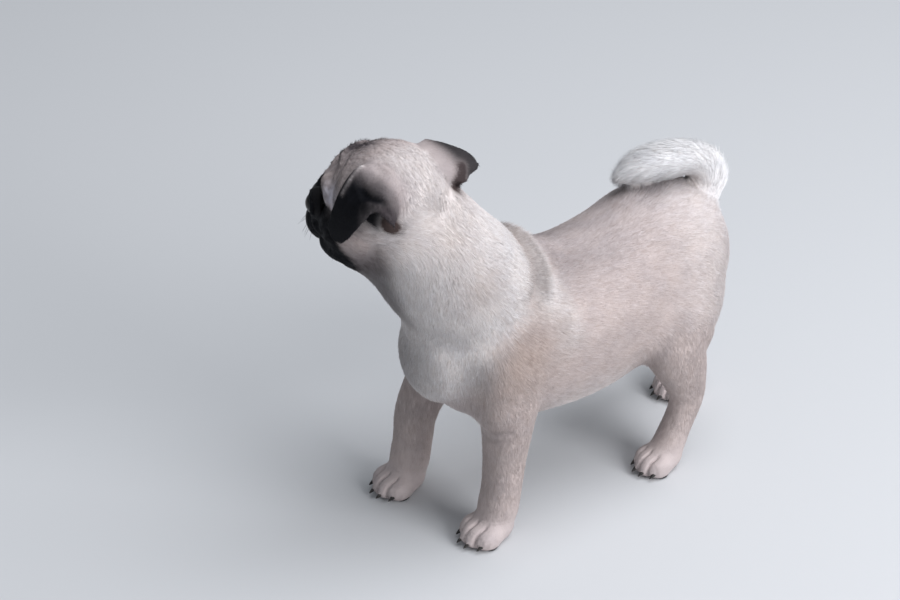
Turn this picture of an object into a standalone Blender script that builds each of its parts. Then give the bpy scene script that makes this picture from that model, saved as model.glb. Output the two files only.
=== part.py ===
"""A pug puppy about four months old: a still, life-size model, standing, with its head turned to its right.

Metres, +Z up. The body faces -Y, so the puppy's left is +X, and the soles of its feet lie on z = 0.
Every size is to the tips of the short coat.
"""

import math

import bmesh
import bpy
import numpy as np
from mathutils import Matrix, Vector

# Driving sizes of the puppy.
CHEST_WIDTH = 0.108
EYE_RADIUS = 0.0098
EAR_THICKNESS = 0.0032
GAP = 0.0003
BODY_VOXEL = 0.0022
HEAD_VOXEL = 0.0013
BODY_FACES = 6600
HEAD_FACES = 4400

# The head's own frame: its origin is the middle of the skull, and it faces -Y before it is turned.
HEAD_CENTRE = Vector((-0.031, -0.106, 0.265))
HEAD_YAW = math.radians(-76)
HEAD_PITCH = math.radians(12)
HEAD_TURN = (
    Matrix.Translation(HEAD_CENTRE) @ Matrix.Rotation(HEAD_YAW, 4, "Z") @ Matrix.Rotation(HEAD_PITCH, 4, "X")
)
# The middle of the left eye in the head's frame.
EYE = (0.0252, -0.0325, 0.0010)

COLOURS = {
    "fawn coat": (0.66, 0.55, 0.47, 1.0),
    "cream coat": (0.78, 0.72, 0.66, 1.0),
    "black mask": (0.030, 0.028, 0.032, 1.0),
    "eye": (0.020, 0.012, 0.008, 1.0),
    "nose leather": (0.012, 0.012, 0.013, 1.0),
}

# Each torso station is x, y, z of the middle, then the half width and the half depths below and above it.
TORSO = (
    (-0.003, -0.083, 0.146, 0.033, 0.038, 0.040),
    (-0.002, -0.070, 0.146, 0.045, 0.050, 0.051),
    (0.000, -0.042, 0.146, 0.053, 0.064, 0.062),
    (0.000, -0.005, 0.143, CHEST_WIDTH / 2, 0.070, 0.063),
    (0.000, 0.035, 0.143, 0.054, 0.073, 0.055),
    (0.000, 0.075, 0.148, 0.051, 0.068, 0.056),
    (0.000, 0.108, 0.156, 0.048, 0.056, 0.060),
    (0.000, 0.136, 0.160, 0.041, 0.048, 0.050),
)
NECK = (
    (0.000, -0.030, 0.160, 0.046, 0.044, 0.048),
    (-0.002, -0.062, 0.196, 0.046, 0.049, 0.048),
    (-0.013, -0.084, 0.228, 0.0445, 0.046, 0.044),
    (-0.026, -0.097, 0.255, 0.040, 0.040, 0.040),
)
# The tail rises from the croup and curls forward over the back in a single curl.
TAIL = (
    (0.000, 0.128, 0.180, 0.0160, 0.0160, 0.0160),
    (0.002, 0.147, 0.195, 0.0150, 0.0150, 0.0150),
    (0.003, 0.153, 0.207, 0.0140, 0.0135, 0.0140),
    (0.002, 0.149, 0.219, 0.0140, 0.0125, 0.0135),
    (-0.003, 0.135, 0.2265, 0.0150, 0.0115, 0.0125),
    (-0.008, 0.117, 0.2285, 0.0155, 0.0110, 0.0125),
    (-0.012, 0.102, 0.2255, 0.0140, 0.0105, 0.0120),
    (-0.014, 0.091, 0.2225, 0.0090, 0.0080, 0.0085),
)
# Middle of each foot, and the knee and hock of each hind leg as (y, z).
LEFT_FOREFOOT = (0.034, -0.061)
RIGHT_FOREFOOT = (-0.050, -0.078)
LEFT_HINDFOOT = (0.041, 0.090)
RIGHT_HINDFOOT = (-0.026, 0.163)
LEFT_KNEE, LEFT_HOCK = (0.083, 0.106), (0.111, 0.056)
RIGHT_KNEE, RIGHT_HOCK = (0.112, 0.104), (0.178, 0.056)

# The loose fold of skin behind each shoulder: how far back it lies, at each angle down from the spine.
FOLD = ((0.000, 100), (-0.006, 86), (-0.009, 71), (-0.012, 58), (-0.014, 46), (-0.012, 34), (-0.007, 22), (0.003, 10))

# An ear's flap, from the front of its root round to the back. Each row has the place of its root on the skull,
# as the angles sideways from the face and up from the eyes, then how far its free edge lies outwards, backwards
# and upwards from there, and how far it bulges between the two. The left ear is folded down over the cheek, and
# the right one stands out sideways with a drooping tip.
LEFT_EAR = (
    (105, 57, 0.009, -0.003, -0.003, 0.003),
    (124, 60, 0.025, -0.017, -0.021, 0.010),
    (134, 55, 0.030, -0.030, -0.038, 0.015),
    (142, 48, 0.030, -0.026, -0.045, 0.016),
    (148, 38, 0.028, -0.012, -0.024, 0.014),
    (151, 27, 0.025, -0.004, -0.008, 0.011),
    (147, 13, 0.017, 0.000, -0.008, 0.009),
    (140, 0, 0.009, 0.003, -0.005, 0.004),
)
RIGHT_EAR = (
    (105, 44, 0.009, -0.002, -0.003, 0.002),
    (118, 42, 0.023, -0.003, -0.010, 0.003),
    (130, 34, 0.034, 0.000, -0.016, 0.005),
    (140, 27, 0.037, -0.002, -0.021, 0.006),
    (145, 19, 0.027, -0.004, -0.016, 0.005),
    (142, 8, 0.018, -0.002, -0.011, 0.004),
    (136, 0, 0.009, 0.001, -0.006, 0.004),
)


def material(name, roughness):
    """A plain surface of one coat or skin colour."""
    made = bpy.data.materials.new(name)
    made.use_nodes = True
    shader = made.node_tree.nodes["Principled BSDF"]
    shader.inputs["Base Color"].default_value = COLOURS[name]
    shader.inputs["Roughness"].default_value = roughness
    made.diffuse_color = COLOURS[name]
    return made


def through(stations, steps):
    """Rows between the stations on one smooth Catmull-Rom curve, so many steps for each span."""
    rows = np.array(stations, float)
    ends = np.vstack([2 * rows[0] - rows[1], rows, 2 * rows[-1] - rows[-2]])
    made = []
    for i in range(len(rows) - 1):
        before, start, end, after = ends[i : i + 4]
        for t in np.arange(steps) / steps:
            bend = 2 * before - 5 * start + 4 * end - after
            twist = 3 * start - before - 3 * end + after
            made.append(0.5 * (2 * start + (end - before) * t + bend * t**2 + twist * t**3))
    made.append(rows[-1])
    return np.array(made)


def add_rings(shape, rings):
    """Joins rings of points into one closed skin, with a flat face at each end."""
    made = [[shape.verts.new(p) for p in ring] for ring in rings]
    count = len(made[0])
    for low, high in zip(made, made[1:]):
        for i in range(count):
            j = (i + 1) % count
            shape.faces.new((low[i], low[j], high[j], high[i]))
    shape.faces.new(list(reversed(made[0])))
    shape.faces.new(made[-1])


def add_limb(shape, stations, across=(1, 0, 0), sides=20, steps=5, dome=0.7):
    """A limb through stations of (x, y, z, half width, half depth before, half depth behind), with domed ends.

    The half width lies along across, and the two depths on either side of it.
    """
    rows = through(stations, steps)
    across = Vector(across)
    rings = []
    angles = [2 * math.pi * i / sides for i in range(sides)]
    count = len(rows)
    for k, row in enumerate(rows):
        centre = Vector(row[:3])
        along = Vector(rows[min(k + 1, count - 1)][:3] - rows[max(k - 1, 0)][:3]).normalized()
        side = (across - across.dot(along) * along).normalized()
        front = along.cross(side)
        wide, before, behind = row[3:6]

        def ring(shift, scale):
            middle = centre + along * shift
            return [
                middle
                + side * (math.cos(a) * wide * scale)
                + front * (math.sin(a) * (before if math.sin(a) > 0 else behind) * scale)
                for a in angles
            ]

        reach = dome * min(wide, (before + behind) / 2)
        cap = [(reach * math.sin(t), math.cos(t)) for t in (0.5, 0.95, 1.3)]
        if k == 0:
            rings += [ring(-shift, scale) for shift, scale in reversed(cap)]
        rings.append(ring(0, 1))
        if k == count - 1:
            rings += [ring(shift, scale) for shift, scale in cap]
    add_rings(shape, rings)


def add_ball(shape, centre, radii, turn=Matrix.Identity(4), detail=3):
    """An ellipsoid with the given half axes, turned in place."""
    place = Matrix.Translation(centre) @ turn @ Matrix.Diagonal((*radii, 1))
    bmesh.ops.create_icosphere(shape, subdivisions=detail, radius=1, matrix=place)


def add_ridge(shape, points, radius, turn=Matrix.Identity(4), thin=0.35):
    """A rounded ridge along the points, thinner at both ends."""
    path = through(points, 5)
    count = len(path)
    rows = []
    for i, point in enumerate(path):
        size = radius * (thin + (1 - thin) * math.sin(math.pi * i / (count - 1)) ** 0.6)
        rows.append((*(turn @ Vector(point)), size, size, size))
    add_limb(shape, rows, across=(0.31, 0.17, 0.93), sides=8, steps=1, dome=0.9)


def torso_point(y, angle, lift=0.0):
    """A point of the torso's skin, at an angle up from its side, or so far above it."""
    rows = through(TORSO, 12)
    order = np.argsort(rows[:, 1])
    middle, width, above = (np.interp(y, rows[order, 1], rows[order, i]) for i in (2, 3, 5))
    a = math.radians(angle)
    return ((width + lift) * math.cos(a), y, middle + (above + lift) * math.sin(a))


def mirrored(points, side):
    return tuple((side * x, y, z) for x, y, z in points)


def foreleg(side, foot):
    """Shoulder, arm and pastern, down to a foot at (x, y)."""
    x, y = foot
    lean = abs(x) - 0.042
    return (
        (side * 0.030, -0.030, 0.176, 0.018, 0.028, 0.024),
        (side * 0.038, -0.047, 0.148, 0.020, 0.030, 0.028),
        (side * (0.042 + 0.4 * lean), -0.050, 0.120, 0.0195, 0.026, 0.025),
        (side * (0.043 + 0.7 * lean), -0.050, 0.096, 0.0175, 0.0205, 0.0205),
        (x - side * 0.001, y + 0.012, 0.066, 0.0160, 0.0160, 0.0165),
        (x, y + 0.009, 0.040, 0.0148, 0.0150, 0.0148),
        (x, y + 0.006, 0.022, 0.0152, 0.0158, 0.0150),
    )


def hindleg(side, knee, hock, foot):
    """Thigh, lower thigh and rear pastern, through the knee and hock, to a foot at (x, y)."""
    x, y = foot
    return (
        (side * 0.022, 0.118, 0.170, 0.024, 0.034, 0.034),
        (side * 0.034, (knee[0] + 0.132) / 2, 0.136, 0.024, 0.038, 0.036),
        (side * 0.042, knee[0] + 0.014, knee[1] + 0.002, 0.0195, 0.027, 0.026),
        (side * 0.042, (knee[0] + hock[0]) / 2 + 0.008, (knee[1] + hock[1]) / 2, 0.0155, 0.0200, 0.0200),
        (x, hock[0], hock[1], 0.0118, 0.0140, 0.0150),
        (x, (hock[0] + y) / 2 + 0.004, (hock[1] + 0.016) / 2, 0.0112, 0.0120, 0.0120),
        (x, y + 0.006, 0.018, 0.0125, 0.0130, 0.0120),
    )


def toes(place, width, length):
    """The middle of each of the four toes of a foot, the outer ones set back."""
    x, y = place
    for spread in (-1, -1 / 3, 1 / 3, 1):
        yield Vector((x + spread * width * 0.36, y - length * (0.40 - 0.16 * spread**2), 0.0070))


def add_foot(shape, place, width, length):
    """A paw: a pad with four close toes."""
    add_ball(shape, (place[0], place[1] + 0.002, 0.010), (width * 0.44, length * 0.42, 0.013))
    for toe in toes(place, width, length):
        add_ball(shape, toe, (width * 0.155, length * 0.27, 0.0100))


FEET = {
    "foreleg_left": (1, LEFT_FOREFOOT, 0.034, 0.038),
    "foreleg_right": (-1, RIGHT_FOREFOOT, 0.034, 0.038),
    "hindleg_left": (1, LEFT_HINDFOOT, 0.030, 0.035),
    "hindleg_right": (-1, RIGHT_HINDFOOT, 0.030, 0.035),
}


def add_body(shape):
    """Torso, neck, legs and feet as overlapping limbs, with the fold behind each shoulder."""
    add_limb(shape, TORSO)
    add_limb(shape, NECK)
    fold = [torso_point(y, angle, 0.003 * math.sin(math.radians(angle)) ** 2) for y, angle in FOLD]
    for side in (1, -1):
        add_ridge(shape, mirrored(fold, side), 0.0085)
    add_limb(shape, foreleg(1, LEFT_FOREFOOT))
    add_limb(shape, foreleg(-1, RIGHT_FOREFOOT))
    add_limb(shape, hindleg(1, LEFT_KNEE, LEFT_HOCK, LEFT_HINDFOOT))
    add_limb(shape, hindleg(-1, RIGHT_KNEE, RIGHT_HOCK, RIGHT_HINDFOOT))
    for side, place, width, length in FEET.values():
        add_foot(shape, place, width, length)


def skull_point(sideways, upwards, lift=0.0):
    """A point on the skull at an angle sideways from the face and upwards from the eyes, in degrees."""
    a, b = math.radians(sideways), math.radians(upwards)
    return (
        (0.041 + lift) * math.sin(a) * math.cos(b),
        0.006 - (0.044 + lift) * math.cos(a) * math.cos(b),
        0.004 + (0.037 + lift) * math.sin(b),
    )


def add_skull(shape):
    """Skull, cheeks, muzzle, lips and chin."""
    turn = HEAD_TURN.to_3x3().to_4x4()
    for side in (1, -1):
        add_ball(shape, HEAD_TURN @ Vector((side * 0.019, -0.010, -0.013)), (0.022, 0.027, 0.025), turn)
        add_ball(shape, HEAD_TURN @ Vector((side * 0.0118, -0.046, -0.0180)), (0.0140, 0.0128, 0.0148), turn)
        add_ball(shape, HEAD_TURN @ Vector((side * 0.017, 0.000, 0.008)), (0.022, 0.026, 0.0200), turn)
        add_ball(shape, HEAD_TURN @ Vector((side * 0.014, -0.018, -0.0305)), (0.020, 0.026, 0.0150), turn)
    add_ball(shape, HEAD_TURN @ Vector((0, 0.006, 0.003)), (0.041, 0.0425, 0.036), turn)
    add_ball(shape, HEAD_TURN @ Vector((0, -0.034, -0.010)), (0.025, 0.016, 0.023), turn)
    add_ball(shape, HEAD_TURN @ Vector((0, -0.041, -0.0300)), (0.0165, 0.0140, 0.0085), turn)
    add_ball(shape, HEAD_TURN @ Vector((0, -0.008, -0.0390)), (0.0300, 0.0290, 0.0190), turn)


def add_folds(shape):
    """The roll over the nose, the wrinkles of the brow and cheeks, and the lids round each eye."""
    roll = ((-0.021, -0.0400, -0.0080), (-0.0125, -0.0455, 0.0020), (0, -0.0465, 0.0075))
    add_ridge(shape, roll + mirrored(roll[1::-1], -1), 0.0048, HEAD_TURN)
    for upwards, spread, radius in ((24, 40, 0.0030), (37, 46, 0.0030), (51, 50, 0.0026)):
        line = [skull_point(spread * t, upwards + 4 * math.cos(3 * t), -0.0014) for t in (-1, -0.5, 0, 0.5, 1)]
        add_ridge(shape, line, radius, HEAD_TURN)
    for side in (1, -1):
        cheek = ((side * 0.017, -0.047, -0.005), (side * 0.030, -0.036, -0.0135), (side * 0.035, -0.022, -0.0200))
        add_ridge(shape, cheek, 0.0032, HEAD_TURN)
        brow = (skull_point(side * 60, 4), skull_point(side * 52, 24), skull_point(side * 30, 30))
        add_ridge(shape, brow, 0.0042, HEAD_TURN)
        eye = Vector((side * EYE[0], EYE[1], EYE[2]))
        look = Vector((side * 0.62, -0.77, 0.10)).normalized()
        wide = look.cross(Vector((0, 0, 1))).normalized()
        tall = wide.cross(look)
        rim = [
            eye + look * 0.0052 + (wide * math.cos(a) * 1.08 + tall * math.sin(a) * 0.92) * (EYE_RADIUS * 0.90)
            for a in [2 * math.pi * i / 14 for i in range(14)]
        ]
        for point in rim:
            add_ball(shape, HEAD_TURN @ point, (0.0026, 0.0026, 0.0026), detail=2)


def add_mouth(shape):
    """What is cut away: the line of the mouth, the cleft between the lips and a nick below each nostril."""
    line = ((0.026, -0.031, -0.0275), (0.018, -0.049, -0.0268), (0.008, -0.0585, -0.0262), (0, -0.0575, -0.0245))
    whole = line + mirrored(line[-2::-1], -1)
    add_ridge(shape, whole, 0.0018, HEAD_TURN, thin=0.6)
    add_ridge(shape, ((0, -0.0600, -0.0110), (0, -0.0600, -0.0180), (0, -0.0585, -0.0260)), 0.0016, HEAD_TURN, 0.7)


def node(name, shape, look=None):
    """An object of that name, made from the shape."""
    mesh = bpy.data.meshes.new(name)
    bmesh.ops.recalc_face_normals(shape, faces=shape.faces)
    shape.to_mesh(mesh)
    shape.free()
    made = bpy.data.objects.new(name, mesh)
    bpy.context.scene.collection.objects.link(made)
    if look:
        made.data.materials.append(look)
    return made


def apply_modifiers(made):
    """Gives the object the mesh that its modifiers make."""
    graph = bpy.context.evaluated_depsgraph_get()
    mesh = bpy.data.meshes.new_from_object(made.evaluated_get(graph))
    made.modifiers.clear()
    made.data = mesh


def fuse(made, voxel, smoothing):
    """Makes one skin of the overlapping shapes, and softens where they meet."""
    remesh = made.modifiers.new("One skin", "REMESH")
    remesh.mode = "VOXEL"
    remesh.voxel_size = voxel
    if smoothing:
        smooth = made.modifiers.new("Soften", "SMOOTH")
        smooth.factor = 0.5
        smooth.iterations = smoothing
    apply_modifiers(made)


def thin_out(made, faces):
    """Leaves about so many triangles."""
    made.data.calc_loop_triangles()
    fewer = made.modifiers.new("Fewer faces", "DECIMATE")
    fewer.ratio = min(1.0, faces / len(made.data.loop_triangles))
    fewer.use_collapse_triangulate = True
    apply_modifiers(made)


def largest(made):
    """Keeps only the largest closed surface of the object."""
    shape = bmesh.new()
    shape.from_mesh(made.data)
    left, groups = set(shape.verts), []
    while left:
        start = left.pop()
        group, edge = {start}, [start]
        while edge:
            for link in edge.pop().link_edges:
                for vert in link.verts:
                    if vert in left:
                        left.discard(vert)
                        group.add(vert)
                        edge.append(vert)
        groups.append(group)
    groups.sort(key=len)
    for group in groups[:-1]:
        bmesh.ops.delete(shape, geom=list(group), context="VERTS")
    shape.to_mesh(made.data)
    shape.free()


def combine(made, tool, operation):
    """A Boolean of the object with a tool that is removed afterwards."""
    step = made.modifiers.new(operation.title(), "BOOLEAN")
    step.object = tool
    step.operation = operation
    step.solver = "EXACT"
    apply_modifiers(made)
    bpy.data.objects.remove(tool)
    largest(made)


def wedge(corners, grow=0.0):
    """A convex solid with the corners, moved out from its middle by about the given amount."""
    middle = sum((Vector(c) for c in corners), Vector()) / len(corners)
    shape = bmesh.new()
    for corner in corners:
        away = Vector(corner) - middle
        shape.verts.new(middle + away + Vector([math.copysign(grow, v) for v in away]))
    bmesh.ops.convex_hull(shape, input=shape.verts)
    return node("Cut", shape)


def block(point, normal, size, depth, shift=0.0):
    """A box whose near face is centred on the point, and which reaches away along the normal."""
    turn = Vector(normal).to_track_quat("Z", "X").to_matrix().to_4x4()
    place = Matrix.Translation(Vector(point) + Vector(normal).normalized() * shift) @ turn
    shape = bmesh.new()
    box = place @ Matrix.Translation((0, 0, depth / 2)) @ Matrix.Diagonal((size, size, depth, 1))
    bmesh.ops.create_cube(shape, size=1, matrix=box)
    return node("Cut", shape)


def duplicate(made, name, look=None):
    copy = bpy.data.objects.new(name, made.data.copy())
    bpy.context.scene.collection.objects.link(copy)
    if look:
        copy.data.materials.clear()
        copy.data.materials.append(look)
    return copy


def seat(piece, body):
    """Cuts the piece back to the skin of the body, with the small gap between them."""
    swollen = duplicate(body, "Cut")
    push = swollen.modifiers.new("Gap", "DISPLACE")
    push.strength = GAP
    push.mid_level = 0.0
    apply_modifiers(swollen)
    combine(piece, swollen, "DIFFERENCE")


# Where each part is cut from the next: a point of the cut and the way to the part beyond it.
HEAD_CUT = ((-0.012, -0.086, 0.236), (-0.42, -0.16, 0.88))
NECK_CUT = ((0.0, -0.062, 0.196), (0.0, -0.42, 0.91))


def leg_box(name, grow=0.0):
    """The solid that parts a leg from the torso, slanting in to the armpit or the groin."""
    side = FEET[name][0]
    if name.startswith("fore"):
        inner, outer, front, back = 0.074, 0.157, -0.125, -0.024
        reach = (0.012, 0.095)
    else:
        inner, outer, front, back = 0.077, 0.172, 0.058, 0.225
        reach = (0.008 if side < 0 else 0.014, 0.095)
    floor = -0.02 if grow else 0.0
    corners = [
        (side * x, y, z)
        for y in (front, back)
        for x, z in ((reach[0], floor), (reach[1], floor), (reach[1], outer), (reach[0], inner))
    ]
    return wedge(corners, grow)


def claws(name):
    """A blunt claw at the end of each toe."""
    side, place, width, length = FEET[name]
    made = []
    for toe in toes(place, width, length):
        tip = toe + Vector((0, -length * 0.27 + 0.0014, -0.0008))
        turn = Vector((0, -1, -0.62)).to_track_quat("Z", "X").to_matrix().to_4x4()
        shape = bmesh.new()
        bmesh.ops.create_cone(
            shape,
            cap_ends=True,
            segments=6,
            radius1=0.0019,
            radius2=0.0007,
            depth=0.0050,
            matrix=Matrix.Translation(tip) @ turn,
        )
        made.append(node("Claw", shape))
    return made


def ear(name, side, stations, look):
    """A flap of skin with a hollow under it, bent over along its middle."""
    rows = []
    for sideways, upwards, out, back, up, bulge in stations:
        root = Vector(skull_point(sideways, upwards, -0.003))
        edge = Vector(skull_point(sideways, upwards)) + Vector((out, back, up))
        away = Vector(skull_point(min(sideways, 120), max(upwards, 20), 0.01)) - Vector(skull_point(90, 0, -0.041))
        away = (away.normalized() + Vector((0.5, 0.3, 0.4))).normalized()
        middle = (root + edge) / 2 + away * bulge * 1.6
        rows.append([*root, *middle, *edge])
    shape = bmesh.new()
    steps = 7
    grid = []
    for row in through(rows, 3):
        root, middle, edge = (Vector((side * row[i], row[i + 1], row[i + 2])) for i in (0, 3, 6))
        line = []
        for t in [i / steps for i in range(steps + 1)]:
            line.append(HEAD_TURN @ ((1 - t) ** 2 * root + 2 * t * (1 - t) * middle + t * t * edge))
        grid.append([shape.verts.new(p) for p in line])
    for a, b in zip(grid, grid[1:]):
        for i in range(steps):
            shape.faces.new((a[i], a[i + 1], b[i + 1], b[i]))
    made = node(name, shape, look)
    solid = made.modifiers.new("Skin thickness", "SOLIDIFY")
    solid.thickness = EAR_THICKNESS
    solid.offset = 0
    apply_modifiers(made)
    return made


def main():
    for made in list(bpy.data.objects):
        bpy.data.objects.remove(made)
    fawn = material("fawn coat", 0.8)
    cream = material("cream coat", 0.8)
    mask = material("black mask", 0.75)
    leather = material("nose leather", 0.45)
    dark_eye = material("eye", 0.08)

    shape = bmesh.new()
    add_body(shape)
    add_skull(shape)
    flesh = node("Flesh", shape, fawn)
    fuse(flesh, BODY_VOXEL, 16)
    thin_out(flesh, BODY_FACES)

    shape = bmesh.new()
    add_skull(shape)
    add_folds(shape)
    add_limb(shape, NECK)
    head = node("head", shape, fawn)
    fuse(head, HEAD_VOXEL, 4)
    shape = bmesh.new()
    add_mouth(shape)
    lines = node("Cut", shape)
    fuse(lines, 0.0007, 1)
    thin_out(lines, 500)
    thin_out(head, HEAD_FACES)
    combine(head, lines, "DIFFERENCE")
    combine(head, block(*HEAD_CUT, 0.30, 0.20), "INTERSECT")

    # Each eye is a ball in its socket.
    for name, side in (("eye_left", 1), ("eye_right", -1)):
        centre = HEAD_TURN @ Vector((side * EYE[0], EYE[1], EYE[2]))
        shape = bmesh.new()
        bmesh.ops.create_icosphere(shape, subdivisions=3, radius=EYE_RADIUS, matrix=Matrix.Translation(centre))
        node(name, shape, dark_eye).data.shade_smooth()
        shape = bmesh.new()
        socket = EYE_RADIUS + GAP
        bmesh.ops.create_icosphere(shape, subdivisions=3, radius=socket, matrix=Matrix.Translation(centre))
        combine(head, node("Cut", shape), "DIFFERENCE")

    # The nose pad, with both nostrils cut into it.
    turn = HEAD_TURN.to_3x3().to_4x4()
    shape = bmesh.new()
    add_ball(shape, HEAD_TURN @ Vector((0, -0.0545, -0.0035)), (0.0098, 0.0070, 0.0070), turn)
    for side in (1, -1):
        add_ball(shape, HEAD_TURN @ Vector((side * 0.0060, -0.0545, -0.0045)), (0.0048, 0.0065, 0.0054), turn)
    nose = node("nose", shape, leather)
    fuse(nose, 0.0009, 2)
    thin_out(nose, 420)
    for side in (1, -1):
        shape = bmesh.new()
        add_ball(shape, HEAD_TURN @ Vector((side * 0.0048, -0.0620, -0.0045)), (0.0019, 0.0042, 0.0023), turn, 1)
        combine(nose, node("Cut", shape), "DIFFERENCE")
    seat(nose, head)

    for name, side, stations in (("ear_left", 1, LEFT_EAR), ("ear_right", -1, RIGHT_EAR)):
        seat(ear(name, side, stations, mask), head)

    neck = duplicate(flesh, "neck", cream)
    combine(neck, block(*NECK_CUT, 0.20, 0.15), "INTERSECT")
    combine(neck, block(*HEAD_CUT, 0.30, 0.20, -GAP), "DIFFERENCE")

    torso = duplicate(flesh, "torso")
    combine(torso, block(*NECK_CUT, 0.20, 0.25, -GAP), "DIFFERENCE")
    for name in FEET:
        leg = duplicate(flesh, name)
        combine(leg, leg_box(name), "INTERSECT")
        for claw in claws(name):
            combine(leg, claw, "UNION")
        combine(torso, leg_box(name, GAP), "DIFFERENCE")
    bpy.data.objects.remove(flesh)

    shape = bmesh.new()
    add_limb(shape, TAIL)
    tail = node("tail", shape, cream)
    fuse(tail, 0.0018, 3)
    thin_out(tail, 900)
    seat(tail, torso)

    # The origin goes to the middle of the footprint of the whole puppy.
    everything = list(bpy.context.scene.objects)
    points = [v.co for made in everything for v in made.data.vertices]
    middle = [(min(p[i] for p in points) + max(p[i] for p in points)) / 2 for i in (0, 1)]
    for made in everything:
        made.data.transform(Matrix.Translation((-middle[0], -middle[1], 0)))
    for made in bpy.context.scene.objects:
        made.data.shade_smooth()
        made.data.set_sharp_from_angle(angle=math.radians(50))


main()
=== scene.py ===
"""A pug puppy, standing with its head turned to its right.

Its pieces are the skin, the coat, the eyes with their lids, the nose, the claws, the pads and the whiskers.
Metres, +Z up. The body faces -Y and its left side is +X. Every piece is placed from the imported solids.
"""

import math

import bmesh
import bpy
import numpy as np
from mathutils import Matrix, Vector
from mathutils.bvhtree import BVHTree
from mathutils.kdtree import KDTree


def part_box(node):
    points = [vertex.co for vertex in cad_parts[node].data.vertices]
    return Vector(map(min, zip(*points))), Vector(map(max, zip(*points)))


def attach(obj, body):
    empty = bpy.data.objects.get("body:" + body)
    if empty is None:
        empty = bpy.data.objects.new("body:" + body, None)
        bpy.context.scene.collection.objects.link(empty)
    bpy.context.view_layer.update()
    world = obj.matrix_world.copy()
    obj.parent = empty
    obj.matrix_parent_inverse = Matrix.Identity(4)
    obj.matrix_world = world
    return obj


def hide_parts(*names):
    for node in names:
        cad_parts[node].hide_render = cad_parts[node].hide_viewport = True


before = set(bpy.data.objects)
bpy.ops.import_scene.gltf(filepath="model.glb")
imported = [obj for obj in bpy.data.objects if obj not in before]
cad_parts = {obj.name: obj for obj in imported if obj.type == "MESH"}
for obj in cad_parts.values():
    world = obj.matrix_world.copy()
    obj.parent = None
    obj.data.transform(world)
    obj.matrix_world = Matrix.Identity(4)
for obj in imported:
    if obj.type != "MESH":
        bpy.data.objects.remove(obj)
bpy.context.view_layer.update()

# Where the head is
# The head sits turned to the puppy's right and tipped up a little. Both eyes tell where it is. In its own
# frame it faces -Y, its left is +X, and its origin is the middle of the skull.
HEAD_YAW = math.radians(-76)
HEAD_PITCH = math.radians(12)
EYES_FROM_SKULL = Vector((0, -0.0325, 0.0010))
head_turn = Matrix.Rotation(HEAD_YAW, 3, "Z") @ Matrix.Rotation(HEAD_PITCH, 3, "X")


def middle_of(node):
    low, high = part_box(node)
    return (low + high) / 2


# Both sides of the puppy are told apart by a sign: 1 for its left and -1 for its right.
eye_places = {1: middle_of("eye_left"), -1: middle_of("eye_right")}
skull_middle = (eye_places[1] + eye_places[-1]) / 2 - head_turn @ EYES_FROM_SKULL
head_axes = np.array(head_turn)


def in_head(points):
    """The same points in the head's own frame."""
    return (points - np.array(skull_middle)) @ head_axes


def from_head(vector):
    """A direction of the head's frame, in the model's frame."""
    return np.array(vector, float) @ head_axes.T


# The camera
# The photograph looks down at the puppy's left shoulder from in front of it, from about two metres.
SCALE = 0.00073
DISTANCE = 2.0
VIEW_AZIMUTH, VIEW_HEIGHT = math.radians(54), math.radians(33)
PICTURE_WIDTH, PICTURE_HEIGHT = 900, 600
# The pixel over the origin of the puppy's measured drawing, and the middle of the skull in that drawing.
ORIGIN_COLUMN, ORIGIN_ROW = 530, 482
SKULL_IN_DRAWING = Vector((-0.031, -0.106, 0.265))
drawing_origin = skull_middle - SKULL_IN_DRAWING
right = Vector((math.cos(VIEW_AZIMUTH), math.sin(VIEW_AZIMUTH), 0))
back = Vector((
    math.sin(VIEW_AZIMUTH) * math.cos(VIEW_HEIGHT),
    -math.cos(VIEW_AZIMUTH) * math.cos(VIEW_HEIGHT),
    math.sin(VIEW_HEIGHT),
))
up = back.cross(right)
camera = bpy.data.objects.new("Camera", bpy.data.cameras.new("Camera"))
bpy.context.scene.collection.objects.link(camera)
camera.matrix_world = Matrix((right, up, back)).transposed().to_4x4()
camera.location = (
    drawing_origin
    + right * ((PICTURE_WIDTH / 2 - ORIGIN_COLUMN) * SCALE)
    + up * ((ORIGIN_ROW - PICTURE_HEIGHT / 2) * SCALE)
    + back * DISTANCE
)
camera.data.lens = camera.data.sensor_width * DISTANCE / (PICTURE_WIDTH * SCALE)
camera.data.clip_end = 50
bpy.context.scene.camera = camera

# The skin
# One hide covers the whole puppy, without a seam. It is the solids run together, softened, and drawn in by
# the depth of the coat, which is thin on the face, ears and feet, and deepest on the neck and tail.
HEAD_NODES = ("head", "ear_left", "ear_right")
LEG_NODES = ("foreleg_left", "foreleg_right", "hindleg_left", "hindleg_right")
FLESH = ("torso", "neck", *HEAD_NODES, "tail", *LEG_NODES)
# How far each solid grows to meet its neighbours, and the size of the hide's mesh.
CLOSE = 0.0004
SKIN_MESH = 0.0021


def show(name, mesh):
    """An object of the mesh, riding with the puppy."""
    made = bpy.data.objects.new(name, mesh)
    bpy.context.scene.collection.objects.link(made)
    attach(made, "root")
    return made


def new_piece(name, shape):
    """A smooth piece made from the shape."""
    mesh = bpy.data.meshes.new(name)
    shape.to_mesh(mesh)
    shape.free()
    mesh.shade_smooth()
    return show(name, mesh)


def merged_solid(node):
    """A copy of a solid, with its loose triangles joined at their corners."""
    copy = bmesh.new()
    copy.from_mesh(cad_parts[node].data)
    bmesh.ops.remove_doubles(copy, verts=copy.verts, dist=1e-6)
    return copy


def apply_modifiers(made):
    graph = bpy.context.evaluated_depsgraph_get()
    mesh = bpy.data.meshes.new_from_object(made.evaluated_get(graph))
    made.modifiers.clear()
    made.data = mesh


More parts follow.
